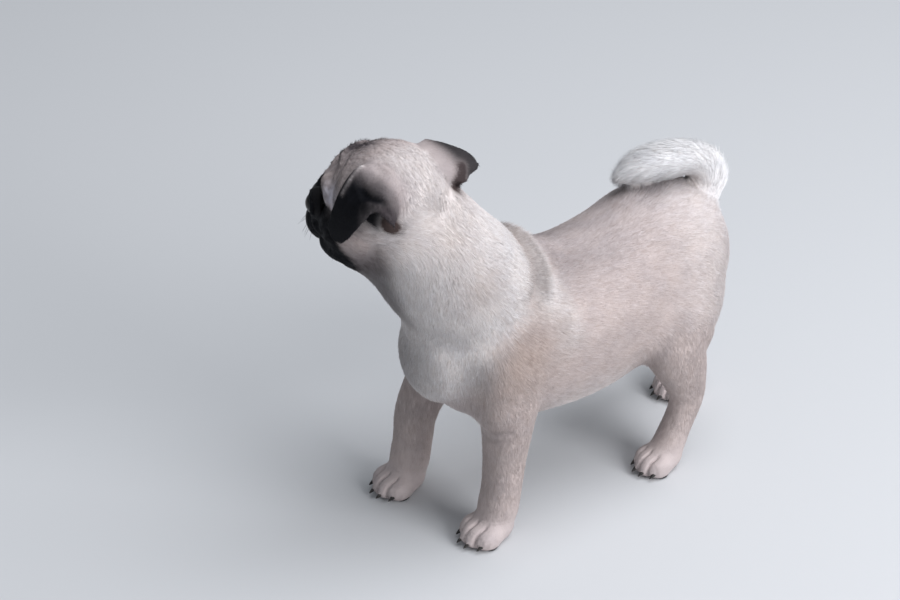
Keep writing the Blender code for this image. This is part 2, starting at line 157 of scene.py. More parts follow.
flesh = bmesh.new()
for name in FLESH:
    part = merged_solid(name)
    part.normal_update()
    for vert in part.verts:
        vert.co += vert.normal * CLOSE
    grown = bpy.data.meshes.new("Grown")
    part.to_mesh(grown)
    part.free()
    flesh.from_mesh(grown)
    bpy.data.meshes.remove(grown)
skin = new_piece("skin", flesh)
together = skin.modifiers.new("Together", "REMESH")
together.mode = "VOXEL"
together.voxel_size = SKIN_MESH
apply_modifiers(skin)

# Which part of the puppy each place on the skin belongs to, from the nearest corner of a solid.
solid_corners = [
    (vert.co, which) for which, name in enumerate(FLESH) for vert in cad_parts[name].data.vertices
]
nearest = KDTree(len(solid_corners))
for i, (place, _) in enumerate(solid_corners):
    nearest.insert(place, i)
nearest.balance()


def part_at(point):
    return solid_corners[nearest.find(point)[1]][1]


def keep_outer_surface(shape):
    """Drops the small shells that the gaps between the solids leave inside."""
    unseen = set(shape.verts)
    surfaces = []
    while unseen:
        reached = {unseen.pop()}
        border = list(reached)
        while border:
            for edge in border.pop().link_edges:
                for vert in edge.verts:
                    if vert in unseen:
                        unseen.discard(vert)
                        reached.add(vert)
                        border.append(vert)
        surfaces.append(reached)
    outer = max(surfaces, key=len)
    bmesh.ops.delete(shape, geom=[vert for vert in shape.verts if vert not in outer], context="VERTS")


# The face, ears and toes are twice as fine as the body.
FACE_END = 0.030
TOES_LOW, TOES_HIGH = 0.001, 0.019
head_parts = [FLESH.index(name) for name in HEAD_NODES]
hide = bmesh.new()
hide.from_mesh(skin.data)
keep_outer_surface(hide)
fine = {
    vert for vert in hide.verts
    if (part_at(vert.co) in head_parts and in_head(np.array(vert.co))[1] < FACE_END)
    or TOES_LOW < vert.co.z < TOES_HIGH
}
bmesh.ops.subdivide_edges(
    hide, edges=[edge for edge in hide.edges if edge.verts[0] in fine and edge.verts[1] in fine],
    cuts=1, use_grid_fill=True,
)
hide.to_mesh(skin.data)
hide.free()


def numbers(collection, name, width):
    """A property of every item as an array."""
    values = np.empty(len(collection) * width, np.float32)
    collection.foreach_get(name, values)
    return values.reshape(-1, width).astype(float) if width > 1 else values.astype(float)


def unit(vectors):
    return vectors / np.maximum(np.linalg.norm(vectors, axis=1), 1e-9)[:, None]


def soft_step(values, low, high):
    """0 up to low, 1 from high on, and a smooth change between them."""
    t = np.clip((values - low) / (high - low), 0, 1)
    return t * t * (3 - 2 * t)


def near(distance, size):
    """1 where the distance is nothing, fading over about the size."""
    return np.exp(-((distance / size) ** 2))


def spot(points, middle, size):
    """A soft round patch."""
    return near(np.linalg.norm(points - np.array(middle), axis=1), size)


def distance_to(line, points, steps):
    """How far each point is from a line of straight lengths, measured at so many steps of each."""
    line = np.array(line)
    found = np.full(len(points), 1.0)
    for start, end in zip(line, line[1:]):
        for t in np.linspace(0, 1, steps):
            found = np.minimum(found, np.linalg.norm(points - (start + (end - start) * t), axis=1))
    return found


def beside(points, line, size):
    """A soft band along a line."""
    return near(distance_to(line, points, 6), size)


def on_left(points):
    """The points with both sides of the puppy laid on its left one."""
    return np.concatenate([np.abs(points[:, :1]), points[:, 1:]], axis=1)


edges = np.empty(len(skin.data.edges) * 2, np.int32)
skin.data.edges.foreach_get("vertices", edges)
first, second = edges.reshape(-1, 2).T
ends, others = np.concatenate([first, second]), np.concatenate([second, first])
links = np.bincount(ends, minlength=len(skin.data.vertices)).clip(1)


def relax(values, share, rounds):
    """Moves each vertex's value so far toward the mean of its neighbours."""
    for _ in range(rounds):
        mean = np.stack([
            np.bincount(ends, weights=values[others, i], minlength=len(values))
            for i in range(values.shape[1])
        ], axis=1) / links[:, None]
        values = values + (mean - values) * share
    return values


skin_points = numbers(skin.data.vertices, "co", 3)
count = len(skin_points)
belongs = np.array([part_at(point) for point in skin_points])
part_share = relax(np.eye(len(FLESH))[belongs], 0.6, 8)


def on(*names):
    """How much each place on the skin belongs to the named parts, softened at their borders."""
    return part_share[:, [FLESH.index(name) for name in names]].sum(axis=1)


on_head, on_ears = on("head"), on("ear_left", "ear_right")
on_legs, on_forelegs = on(*LEG_NODES), on("foreleg_left", "foreleg_right")
on_trunk, on_neck, on_tail = on("torso"), on("neck"), on("tail")
off_head = (1 - np.clip(on_head + on_ears, 0, 1))[:, None]

# The head takes the shape of its solids again.
hard_points = []
hard_faces = []
for name in HEAD_NODES:
    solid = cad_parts[name].data
    start = len(hard_points)
    hard_points += [vert.co for vert in solid.vertices]
    hard_faces += [[start + i for i in face.vertices] for face in solid.polygons]
hard_head = BVHTree.FromPolygons(hard_points, hard_faces)
for i in np.flatnonzero(on_head + on_ears > 0.97):
    skin_points[i] = hard_head.find_nearest(skin_points[i])[0]

# The back of the head runs into the neck, and the neck into the chest, without an edge.
_, head_back, head_up = in_head(skin_points).T
nape = on_head * soft_step(head_back, 0.014, 0.030) + on_head * soft_step(-head_up, 0.026, 0.038)
nape = np.clip(nape, 0, 1) * (1 - np.clip(relax(on_ears[:, None], 1.0, 8)[:, 0] * 3, 0, 1))
nape = nape * (1 - 0.9 * (1 - soft_step(head_back, -0.012, 0.006)))
body_share = np.clip(on_trunk + on_neck + nape, 0, 1)[:, None]
by_trunk, by_neck, by_head = relax(np.stack([on_trunk, on_neck, on_head], axis=1), 0.8 * body_share, 60).T
over_fold = spot(on_left(skin_points - np.array(drawing_origin)), (0.034, -0.006, 0.202), 0.034)
border = np.clip(4 * by_trunk * by_neck + 4 * by_neck * by_head + 1.3 * over_fold, 0, 1)
skin_points = relax(skin_points, 0.8 * (border[:, None] * body_share), 70)
skin_points = relax(skin_points, 0.5 * body_share + 0.10 * on_legs[:, None] + 0.10 * on_tail[:, None], 20)
skin_points = relax(skin_points, 0.45, 4)
skin_points[:, 2] = skin_points[:, 2].clip(0)


def shape_skin():
    """Puts the places worked out so far into the skin, and gives its normals there."""
    skin.data.vertices.foreach_set("co", skin_points.astype(np.float32).ravel())
    skin.data.update()
    return numbers(skin.data.vertex_normals, "vector", 3)


normals = shape_skin()
head_points = in_head(skin_points)
hx, hy, hz = head_points.T


def spread(values, rounds):
    """Softens values over the body, so that no part's border shows, but not over the face and ears."""
    return relax(values, 0.8 * np.clip(off_head + nape[:, None], 0, 1), rounds)


# The length of the hair in each place, and how far it stands off the skin, as a share of that length.
foot_share = on_legs * (1 - soft_step(skin_points[:, 2], 0.016, 0.055))
face_share = on_head * (1 - soft_step(hy, -0.035, 0.015))
hair_length = (
    0.0062 * on_trunk + 0.0078 * on_neck + 0.0054 * on_head
    + 0.0026 * on_ears + 0.0052 * on_legs + 0.0094 * on_tail
)
hair_length = hair_length * (1 - 0.60 * foot_share) * (1 - 0.60 * face_share)
hair_lift = 0.135 + 0.035 * on_neck + 0.090 * on_tail
hair_length, hair_lift = spread(np.stack([hair_length, hair_lift], axis=1), 50).T
skin_points = skin_points - normals * (hair_length * hair_lift)[:, None]
skin_points[:, 2] = skin_points[:, 2].clip(0)
body_points = skin_points - np.array(drawing_origin)
half_body = on_left(body_points)
half_head = on_left(head_points)
x, y, z = body_points.T

# The loose fold behind each shoulder: a crest that runs down from the spine, a furrow in front of it, and a
# low roll behind it that goes on down the side. Later the crest and the roll get painted highlights, and the
# furrow painted shade over its brown coat.
CREST = (
    (0.000, -0.0140, 0.2155), (0.011, -0.0145, 0.2150), (0.020, -0.0150, 0.2130), (0.027, -0.0162, 0.2085),
    (0.032, -0.0178, 0.2050), (0.037, -0.0202, 0.2010), (0.041, -0.0224, 0.1965), (0.046, -0.0255, 0.1840),
)
FURROW = (
    (0.002, -0.0225, 0.2205), (0.008, -0.0222, 0.2170), (0.0145, -0.0222, 0.2145), (0.021, -0.0226, 0.2110),
    (0.026, -0.0232, 0.2070), (0.032, -0.0250, 0.2025), (0.037, -0.0282, 0.1975), (0.041, -0.0355, 0.1920),
)
LIT_ROLL = (
    (0.041, -0.013, 0.199), (0.0475, -0.011, 0.190), (0.0535, -0.010, 0.176), (0.056, -0.011, 0.158),
)
to_crest, to_furrow, to_roll = (distance_to(line, half_body, 9) for line in (CREST, FURROW, LIT_ROLL))
fold_fade = soft_step(z, 0.184, 0.204)
relief = 0.0042 * near(to_crest, 0.0050) * (0.15 + 0.85 * fold_fade)
relief -= 0.0018 * near(to_furrow, 0.0045) * (0.15 + 0.85 * fold_fade)
relief += 0.0008 * near(to_roll, 0.0090)

# The crease over each elbow, where the loose skin of the upper arm hangs over the forearm.
ELBOW = ((0.019, -0.073, 0.104), (0.034, -0.073, 0.100), (0.046, -0.069, 0.0985), (0.053, -0.061, 0.100))
UPPER_ARM = np.array(ELBOW) + (0, 0, 0.012)
to_elbow = distance_to(ELBOW, half_body, 9)
relief -= 0.0009 * near(to_elbow, 0.0045)
relief += 0.0025 * (on_trunk + on_forelegs) * near(distance_to(UPPER_ARM, half_body, 9), 0.010)

# The croup fills the curl of the tail, whose underside comes down to it. The flews hang smoothly to the
# chin. Behind the flap of each ear are the pit of the canal and a lobe.
for height, where, points, middle, size in (
    (0.0058, on_trunk, half_body, (0.000, 0.123, 0.2125), 0.018),
    (0.0036, on_tail, body_points, (-0.003, 0.123, 0.2145), 0.011),
    (0.0026, on_head, half_head, (0.0225, -0.0370, -0.0260), 0.0085),
    (-0.0024, on_head, half_head, (0.0335, 0.0250, 0.0032), 0.0042),
    (0.0022, on_head, half_head, (0.0298, 0.0335, -0.0045), 0.0060),
):
    relief += height * where * spot(points, middle, size)

# The left ear folds forward over a groove, and its front edge is a low raised rim that takes a painted
# highlight.
EAR_GROOVE = (
    (0.0385, 0.0230, 0.0210), (0.0402, 0.0340, 0.0205), (0.0394, 0.0405, 0.0195), (0.0402, 0.0428, 0.0150),
    (0.0385, 0.0440, 0.0110),
)
EAR_RIM = ((0.0262, 0.0138, 0.0350), (0.0360, 0.0112, 0.0292), (0.0412, 0.0075, 0.0212))
in_groove = on_ears * beside(head_points, EAR_GROOVE, 0.0034)
lit_rim = on_ears * beside(head_points, EAR_RIM, 0.0015)
relief += 0.0007 * lit_rim - 0.0015 * in_groove

# The clefts between the four toes of each foot. Each foot is its middle, its width and its length, and the
# middles of its outer toes stand this share of the width aside.
FEET = (
    ((0.034, -0.061), 0.034, 0.038), ((-0.050, -0.078), 0.034, 0.038),
    ((0.041, 0.090), 0.030, 0.035), ((-0.026, 0.163), 0.030, 0.035),
)
TOE_SPREAD = 0.36
for (foot_x, foot_y), width, length in FEET:
    on_toes = soft_step(foot_y - length * 0.16 - y, 0, 0.006) * (1 - soft_step(z, 0.014, 0.022))
    on_toes = on_toes * (np.abs(x - foot_x) < width * 0.7) * (y > foot_y - length)
    for across in (-2 / 3, 0, 2 / 3):
        from_cleft = x - (foot_x + across * width * TOE_SPREAD)
        relief -= 0.0015 * on_toes * near(from_cleft, 0.0011)

# The wrinkles of the brow lie in arcs about the bridge of the nose, over the forehead and down past the
# eyes, so many degrees apart.
WRINKLE_SPAN = 10.0
BRIDGE = np.array((0, 0.006, 0.004))
arc = np.degrees(np.arccos(np.clip(-unit(head_points - BRIDGE)[:, 1], -1, 1)))
wave = np.cos(2 * math.pi * (arc + 1.2 * np.sin(hx * 180)) / WRINKLE_SPAN)
brow = on_head * soft_step(hz, 0.004, 0.014) * soft_step(arc, 26, 36) * (1 - soft_step(arc, 66, 84))
relief += 0.00050 * brow * wave
skin_points = skin_points + normals * relief[:, None]
normals = shape_skin()
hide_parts(*FLESH)

# The lie of the coat
# The hair runs from the nose over the skull, down the neck, back along the trunk and down each leg, and
# along the tail to its tip.
TAIL_LINE = np.array((
    (0.000, 0.128, 0.180), (0.002, 0.147, 0.195), (0.003, 0.153, 0.207), (0.002, 0.149, 0.219),
    (-0.003, 0.135, 0.2265), (-0.008, 0.117, 0.2285), (-0.012, 0.102, 0.2255), (-0.014, 0.091, 0.2225),
)) + np.array(drawing_origin)


def mix(a, b, share):
    share = np.asarray(share)[:, None]
    return np.asarray(a) * (1 - share) + np.asarray(b) * share


flank = soft_step(np.abs(x), 0.010, 0.050)
trunk_lie = np.stack([np.zeros(count), np.ones(count), -0.40 * flank], axis=1)
trunk_lie = mix(trunk_lie, (0, 0.70, -1.0), (1 - soft_step(y, -0.055, 0.000)) * flank)
trunk_lie = mix(trunk_lie, (0, 0.10, -1.0), 1 - soft_step(y, -0.085, -0.050))
trunk_lie = mix(trunk_lie, (0, 0.45, -1.0), soft_step(y, 0.090, 0.145) * (1 - soft_step(z, 0.16, 0.20)))
neck_lie = mix(np.tile((0.10, 0.60, -0.80), (count, 1)), (0.0, 0.05, -1.0), 1 - soft_step(y, -0.105, -0.065))
leg_lie = mix(np.tile((0, 0.18, -1.0), (count, 1)), (0, -1.0, -0.25), (1 - soft_step(z, 0.012, 0.024)))
head_lie = unit(head_points - np.array((0, -0.062, 0.002))) + np.array((0, 0.35, -0.10))
head_lie[:, 2] -= 0.5 * soft_step(np.abs(hx), 0.012, 0.036) * (hy > -0.02)
ear_lie = np.where(head_points[:, :1] > 0, (0.35, -0.40, -0.85), (-0.90, 0.10, -0.42))
tail_steps = np.gradient(TAIL_LINE, axis=0)
tail_place = np.linalg.norm(skin_points[:, None] - TAIL_LINE[None], axis=2).argmin(axis=1)


def along_skin(vectors):
    """The vectors laid down along the skin."""
    return unit(vectors - normals * (vectors * normals).sum(axis=1)[:, None])


lie = along_skin(
    trunk_lie * on_trunk[:, None]
    + neck_lie * on_neck[:, None]
    + leg_lie * on_legs[:, None]
    + from_head(head_lie) * on_head[:, None]
    + from_head(ear_lie) * on_ears[:, None]
    + unit(tail_steps[tail_place]) * on_tail[:, None]
)
for _ in range(5):
    lie = along_skin(spread(relax(lie, 0.5, 2), 8))

# The markings, with painted shade and highlights
# A fawn puppy: a black mask and ears, a smoky brow, a faint dark line along the spine, a brown band in front
# of the shoulder's fold that is partly painted shade, a cream neck, breast and thighs, and a tail that is
# white above. Painted shade also darkens the throat, the far side of the chest, the crease over each elbow,
# the ears' canals, the brow's furrows, and in part the legs and the darker fur under the tail; painted
# highlights lighten the fold's crest and roll and the left ear's front edge. Each marking or painted light is
# a share from 0 to 1 of its colour in each place.
FAWN = (0.640, 0.570, 0.560, 1)
TAN_AND_SHADE = (0.480, 0.385, 0.335, 1)
WHITE_AND_HIGHLIGHT = (0.930, 0.915, 0.905, 1)
LILAC = (0.820, 0.830, 0.950, 1)
LOBE_BROWN = (0.058, 0.040, 0.036, 1)
SMOKE_AND_SHADE = (0.075, 0.066, 0.074, 1)
BLACK_AND_SHADE = (0.0050, 0.0054, 0.0080, 1)
# The mask's edge, as heights on the head and how far back it reaches there, and the breast's, on the body.
MASK_EDGE = (
    (-0.050, -0.004), (-0.033, -0.010), (-0.014, -0.008), (0.000, -0.009), (0.005, -0.016),
    (0.010, -0.023), (0.016, -0.031), (0.026, -0.042), (0.034, -0.060),
)
BREAST_EDGE = (
    (0.120, -0.088), (0.134, -0.080), (0.174, -0.062), (0.187, -0.038), (0.198, -0.022), (0.212, -0.013),
)
# Under the tail the coat is partly darker fur and partly painted shadow.
UNDER_TAIL = ((0.002, 0.098, 0.2155), (0.002, 0.112, 0.2155), (0.001, 0.125, 0.2110), (0.002, 0.134, 0.2090))
EAR_LOBE = (
    (0.0400, 0.0425, 0.0105), (0.0375, 0.0430, 0.0055), (0.0310, 0.0335, -0.0015), (0.0290, 0.0350, -0.0060),
)
body = np.clip(on_trunk + on_neck, 0, 1)
warp = (np.sin(310 * x + 90 * z) + np.sin(270 * y - 120 * x + 1.3) + np.sin(240 * z + 160 * y + 2.1)) / 3

# Black: the mask with the lower jaw and most of both ears, painted shade in the left ear's groove, and under
# the tail darker fur with painted shadow.
mask_edge = np.interp(hz, *zip(*MASK_EDGE))
jaw = soft_step(-hz, 0.034, 0.046) * (1 - soft_step(hy, 0.000, 0.014))
mask = np.maximum(1 - soft_step(hy + 0.0016 * warp, mask_edge - 0.003, mask_edge + 0.004), 0.9 * jaw)
left_flap = soft_step(hx, 0.024, 0.038) * (1 - 0.55 * soft_step(hy, 0.020, 0.031))
# The left ear's groove is darkened with painted shade, and its front edge lightened by a painted highlight.
left_flap = np.clip(left_flap + 0.75 * in_groove, 0, 1) * (1 - 0.85 * lit_rim)
right_flap = 0.06 + 0.86 * soft_step(-hx, 0.028, 0.044)
black_and_shade = on_head * np.clip(mask, 0, 1) + on_ears * np.where(hx > 0, left_flap, right_flap)
# Under the tail: partly darker fur, partly painted shadow.
black_and_shade = black_and_shade + 0.40 * on_trunk * beside(half_body, UNDER_TAIL, 0.0070)

# Brown: the band of the fold, partly brown coat and partly painted shade, the shoulder, two patches of the
# neck, the legs, partly their own colour and partly painted shade, and the bend of the tail.
breast = soft_step(np.interp(z, *zip(*BREAST_EDGE)) - y, -0.005, 0.010)
# In front of the fold's crest the coat is brown, deepened with painted shade.
furrow_band = body * near(to_furrow, 0.0078) * (0.25 + 0.75 * fold_fade)
neck_patch = body * spot(half_body, (0.037, -0.074, 0.217), 0.018)
neck_patch = 0.60 * (neck_patch + (on_neck + on_head) * spot(half_body, (0.018, -0.086, 0.257), 0.022))
tail_bend = on_tail * spot(body_points, (0.004, 0.139, 0.2080), 0.011)
tan_and_shade = (
    0.22 * on_trunk * flank
    + 0.55 * body * (1 - breast) * spot(half_body, (0.046, -0.050, 0.158), 0.034)
    + neck_patch
    + 1.10 * furrow_band
    # The legs are browner, partly their own colour and partly painted shade.
    + 0.30 * on_legs * soft_step(z, 0.01, 0.03)
    + 0.15 * on_head
    + 1.00 * tail_bend
)

# Smoke, with painted shade: the forehead with its thumb mark and lines, the ears, and the shoulder blades and
# spine;
# the brow's wrinkles and the fold's furrow, darker coat deepened with painted shade; the hollow under the
# tail, partly darker fur and partly painted shadow; and painted shade alone in the crease over the elbow, on
# the far side of the chest and on the throat.
forehead = soft_step(hz, 0.008, 0.020) * (1 - soft_step(hy, -0.012, 0.014))
thumb_mark = near(hx, 0.0060) * (1 - soft_step(hy, -0.010, 0.008)) * soft_step(hz, 0.010, 0.020)
crown = soft_step(hz, 0.024, 0.034) * (1 - soft_step(hy, 0.006, 0.024))
crown_lines = 0.22 * crown * np.cos(math.pi * hx / 0.0042) ** 6
# The throat is darkened with painted shade, fading down the neck.
throat_shade = soft_step(0.028 - hy, 0.0, 0.014) * soft_step(-hz, 0.014, 0.040) * (on_head + on_neck)
smoke_and_shade = (
    # The brow is smoky, and darker in the furrows between its wrinkles as painted shade.
    on_head * np.clip(forehead * (0.46 - 0.14 * wave) + 0.6 * thumb_mark + crown_lines, 0, 1)
    + on_ears * (0.34 + 0.40 * soft_step(hx, 0.022, 0.031)) * (1 - 0.7 * lit_rim)
    + on_trunk * (
        0.34 * spot(half_body * (1.0, 0.45, 1.0), (0.022, 0.006, 0.196), 0.016)
        + 0.10 * soft_step(z, 0.160, 0.200) * (1 - soft_step(y, 0.06, 0.12))
    )
    # The fold's furrow: darker coat, deepened with painted shade.
    + body * 0.62 * near(to_furrow, 0.0050) * (0.06 + 0.94 * fold_fade)
    # Under the tail: partly darker fur, partly painted shadow.
    + 0.90 * on_trunk * beside(half_body, UNDER_TAIL, 0.0100)
    # Painted shade in the crease over the elbow.
    + 0.60 * (on_trunk + on_forelegs) * near(to_elbow, 0.0038)
    # Painted shade on the far side of the chest.
    + 0.55 * on_trunk * spot(body_points, (-0.022, -0.098, 0.140), 0.030)
    # Painted shade on the throat.
    + 0.72 * throat_shade * (1 - soft_step(-hz, 0.070, 0.110))
)

# White and painted highlight: the tail, the breast, thighs, nape and belly, and painted highlights on the
# left ear's front edge and on the crest and roll of the fold.
white_and_highlight = (
    1.00 * on_tail * (1 - 0.75 * tail_bend)
    # Painted highlight on the left ear's front edge.
    + 0.60 * lit_rim
    + 0.74 * body * breast * (1 - 0.95 * furrow_band) * (1 - 0.9 * neck_patch.clip(0, 1))
    + 0.32 * on_trunk * soft_step(y, 0.07, 0.13)
    + 0.50 * on_head * soft_step(hy, 0.004, 0.030)
    # Painted highlight on the fold's low roll.
    + 0.50 * on_trunk * near(to_roll, 0.009)
    # Painted highlight on the fold's crest.
    + 0.80 * on_trunk * near(to_crest, 0.0050)
    + 0.35 * on_trunk * (1 - soft_step(z, 0.085, 0.125))
)

# Lilac grey: a speckled patch on each temple, between the mask and the ear.
speckle = 0.75 + 0.25 * np.sin(1500 * hx + 900 * hz) * np.sin(1300 * hy - 1100 * hz)
lilac = 0.8 * on_head * speckle * spot(half_head * (1, 1, 0.8), (0.0345, -0.0125, 0.0100), 0.0068)
black_and_shade = np.clip(black_and_shade * (1 - 0.85 * np.clip(lilac, 0, 1)), 0, 1)
marks_and_shade = np.clip(spread(np.stack([black_and_shade, smoke_and_shade, tan_and_shade], axis=1), 10), 0, 1)
marks_and_shade = relax(marks_and_shade, 0.4, 2)
tints_and_highlights = np.clip(spread(np.stack([white_and_highlight, lilac, np.zeros(count)], axis=1), 24), 0, 1)

# Each ear's canal, and the hollow round its opening, is darkened with painted shade, and the lobe behind it
# is brown, with sharp borders.
lobe = np.clip(3.0 * beside(half_head, EAR_LOBE, 0.0048), 0, 1)
canal_shade = 2.0 * spot(half_head, (0.0342, 0.0258, 0.0038), 0.0066)
canal_shade = canal_shade + 1.15 * spot(half_head, (0.0390, 0.0265, 0.0130), 0.0112)
canal_shade = np.clip((on_head + on_ears * (hx > 0)) * canal_shade, 0, 1)
marks_and_shade[:, 0] = np.maximum(marks_and_shade[:, 0] * (1 - 0.8 * lobe), canal_shade * (1 - 0.9 * lobe))
tints_and_highlights[:, 2] = lobe


def set_values(mesh, name, kind, values):
    """Gives each vertex of the mesh its value under the name."""
    made = mesh.attributes.new(name, kind, "POINT")
    field = "vector" if kind == "FLOAT_VECTOR" else "value"
    made.data.foreach_set(field, np.asarray(values, np.float32).ravel())


set_values(skin.data, "marks_and_shade", "FLOAT_VECTOR", marks_and_shade)
set_values(skin.data, "tints_and_highlights", "FLOAT_VECTOR", tints_and_highlights)
set_values(skin.data, "tone", "FLOAT", np.full(count, 0.5))
set_values(skin.data, "tip", "FLOAT", np.full(count, 0.5))


def material(name, roughness, specular=0.5, coat_weight=0.0):
    """A material, its nodes and its shader."""
    made = bpy.data.materials.new(name)
    made.use_nodes = True
    shader = made.node_tree.nodes["Principled BSDF"]
    shader.inputs["Roughness"].default_value = roughness
    shader.inputs["Specular IOR Level"].default_value = specular
    shader.inputs["Coat Weight"].default_value = coat_weight
    shader.inputs["Coat Roughness"].default_value = 0.03
    return made, made.node_tree, shader


def mix_node(tree, kind, share, first, second):
    """Mixes two colours, each of them a colour or another node's result."""
    node = tree.nodes.new("ShaderNodeMix")
    node.data_type = "RGBA"
    node.blend_type = kind
    for socket, value in (("Factor_Float", share), ("A_Color", first), ("B_Color", second)):
        target = next(s for s in node.inputs if s.identifier == socket)
        if isinstance(value, bpy.types.NodeSocket):
            tree.links.new(value, target)
        else:
            target.default_value = value
    return next(s for s in node.outputs if s.identifier == "Result_Color")


def attribute(tree, name, output):
    node = tree.nodes.new("ShaderNodeAttribute")
    node.attribute_name = name
    return node.outputs[output]


def shares_in(tree, name):
    """The three shares kept under the name."""
    split = tree.nodes.new("ShaderNodeSeparateXYZ")
    tree.links.new(attribute(tree, name, "Vector"), split.inputs[0])
    return split.outputs


def noise(tree, scale, detail, stretch=(1, 1, 1)):
    """A pattern fixed to the piece, as a number from 0 to 1."""
    place = tree.nodes.new("ShaderNodeTexCoord")
    turn = tree.nodes.new("ShaderNodeMapping")
    turn.inputs["Scale"].default_value = stretch
    made = tree.nodes.new("ShaderNodeTexNoise")
    made.inputs["Scale"].default_value = scale
    made.inputs["Detail"].default_value = detail
    tree.links.new(place.outputs["Object"], turn.inputs["Vector"])
    tree.links.new(turn.outputs["Vector"], made.inputs["Vector"])
    return made.outputs["Fac"]


def ramp(tree, value, *stops):
    """A colour that follows the value from stop to stop."""
    made = tree.nodes.new("ShaderNodeValToRGB")
    while len(made.color_ramp.elements) < len(stops):
        made.color_ramp.elements.new(0.5)
    for element, (position, colour) in zip(made.color_ramp.elements, stops):
        element.position = position
        element.color = (*colour, 1)
    tree.links.new(value, made.inputs["Fac"])
    return made.outputs["Color"]


def raise_surface(tree, shader, height, strength, depth):
    """Fine relief in the material."""
    bump = tree.nodes.new("ShaderNodeBump")
    bump.inputs["Strength"].default_value = strength
    bump.inputs["Distance"].default_value = depth
    tree.links.new(height, bump.inputs["Height"])
    tree.links.new(bump.outputs["Normal"], shader.inputs["Normal"])


def coat_material(name):
    """Hair, or the skin under it: both have the same markings with their painted shade and highlights, and
    each tuft's root is painted darker, as shade deep in the coat.
    """
    made, tree, shader = material(name, 0.60, 0.14)
    dark, smoky_and_shaded, brown_and_shaded = shares_in(tree, "marks_and_shade")
    pale, grey, bare_lobe = shares_in(tree, "tints_and_highlights")
    colour = FAWN
    for share, over in (
        (brown_and_shaded, TAN_AND_SHADE), (pale, WHITE_AND_HIGHLIGHT), (bare_lobe, LOBE_BROWN), (smoky_and_shaded, SMOKE_AND_SHADE), (grey, LILAC), (dark, BLACK_AND_SHADE),
    ):
        colour = mix_node(tree, "MIX", share, colour, over)
    blotch = ramp(tree, noise(tree, 60, 3), (0.3, (0.93, 0.93, 0.94)), (0.7, (1.05, 1.04, 1.03)))
    tone = attribute(tree, "tone", "Fac")
    clump = ramp(tree, tone, (0.0, (0.78, 0.73, 0.70)), (1.0, (1.14, 1.16, 1.18)))
    # The root of each tuft is painted darker, as shade deep in the coat.
    tip = attribute(tree, "tip", "Fac")
    depth = ramp(tree, tip, (0.0, (0.80, 0.78, 0.77)), (0.7, (1.03, 1.03, 1.03)))
    for shade in (blotch, clump, depth):
        colour = mix_node(tree, "MULTIPLY", 1.0, colour, shade)
    tree.links.new(colour, shader.inputs["Base Color"])
    return made, tree, shader


hide_skin, tree, shader = coat_material("skin under the coat")
raise_surface(tree, shader, noise(tree, 900, 2), 0.5, 0.0005)
skin.data.materials.clear()
skin.data.materials.append(hide_skin)

# The skin laid out flat, in islands of its own shape.
bpy.context.view_layer.objects.active = skin
skin.select_set(True)
skin.data.uv_layers.new(name="OFBake")
bpy.ops.object.mode_set(mode="EDIT")
bpy.ops.mesh.select_all(action="SELECT")
bpy.ops.uv.smart_project(angle_limit=math.radians(70), island_margin=0.002)
bpy.ops.object.mode_set(mode="OBJECT")

# The coat
# Short, dense, soft hair. Each tuft is a thin tapered lock that lies back along the body. Tufts grow in small
# clumps of one tone whose tips draw together.
PER_CLUMP = 6
PATCH = 0.003
coat, _, _ = coat_material("coat hair")
faces = len(skin.data.polygons)
face_middle = numbers(skin.data.polygons, "center", 3)
face_area = numbers(skin.data.polygons, "area", 1)
loop_start = numbers(skin.data.polygons, "loop_start", 1).astype(int)
loop_total = numbers(skin.data.polygons, "loop_total", 1).astype(int)
loop_vert = numbers(skin.data.loops, "vertex_index", 1).astype(int)
flat = numbers(skin.data.uv_layers["OFBake"].uv, "vector", 2)
owner = np.repeat(np.arange(faces), loop_total)


def per_face(values, by_loop=False):
    """The mean over each face's corners."""
    at = values if by_loop else values[loop_vert]
    sums = np.stack([np.bincount(owner, at[:, i], faces) for i in range(at.shape[1])], axis=1)
    return sums / loop_total[:, None]


face_flat = per_face(flat, by_loop=True)
face_normal = unit(per_face(normals))
face_lie = unit(per_face(lie))
face_marks_and_shade = per_face(marks_and_shade)
face_tints_and_highlights = per_face(tints_and_highlights)
face_hair = per_face(np.stack([hair_length, hair_lift], axis=1))
face_part = belongs[loop_vert[loop_start]]
surface = BVHTree.FromPolygons(
    skin_points.tolist(), [loop_vert[s:s + n].tolist() for s, n in zip(loop_start, loop_total)]
)

# Each tuft is a thin three-sided spike, closed at its root, and its four sides lie side by side in its patch.
TUFT_SIDES = np.array(((0, 1, 3), (1, 2, 3), (2, 0, 3), (2, 1, 0)))
SIDES_IN_PATCH = np.array([((i, 0), (i + 1, 0), (i + 0.5, 1)) for i in range(4)]).reshape(-1, 2)


def join_tufts(name, points, places):
    """One mesh of all the tufts, each with its patch at its root's place on the flat skin."""
    triangles = (TUFT_SIDES[None] + (np.arange(len(points)) * 4)[:, None, None]).reshape(-1, 3)
    mesh = bpy.data.meshes.new(name)
    mesh.vertices.add(len(points) * 4)
    mesh.vertices.foreach_set("co", points.astype(np.float32).ravel())
    mesh.loops.add(triangles.size)
    mesh.loops.foreach_set("vertex_index", triangles.astype(np.int32).ravel())
    mesh.polygons.add(len(triangles))
    mesh.polygons.foreach_set("loop_start", np.arange(0, triangles.size, 3, dtype=np.int32))
    mesh.update(calc_edges=True)
    mesh.shade_smooth()
    bake = mesh.uv_layers.new(name="OFBake")
    laid = places[:, None] + (SIDES_IN_PATCH * (PATCH / 4, PATCH))[None]
    bake.uv.foreach_set("vector", laid.astype(np.float32).ravel())
    return mesh


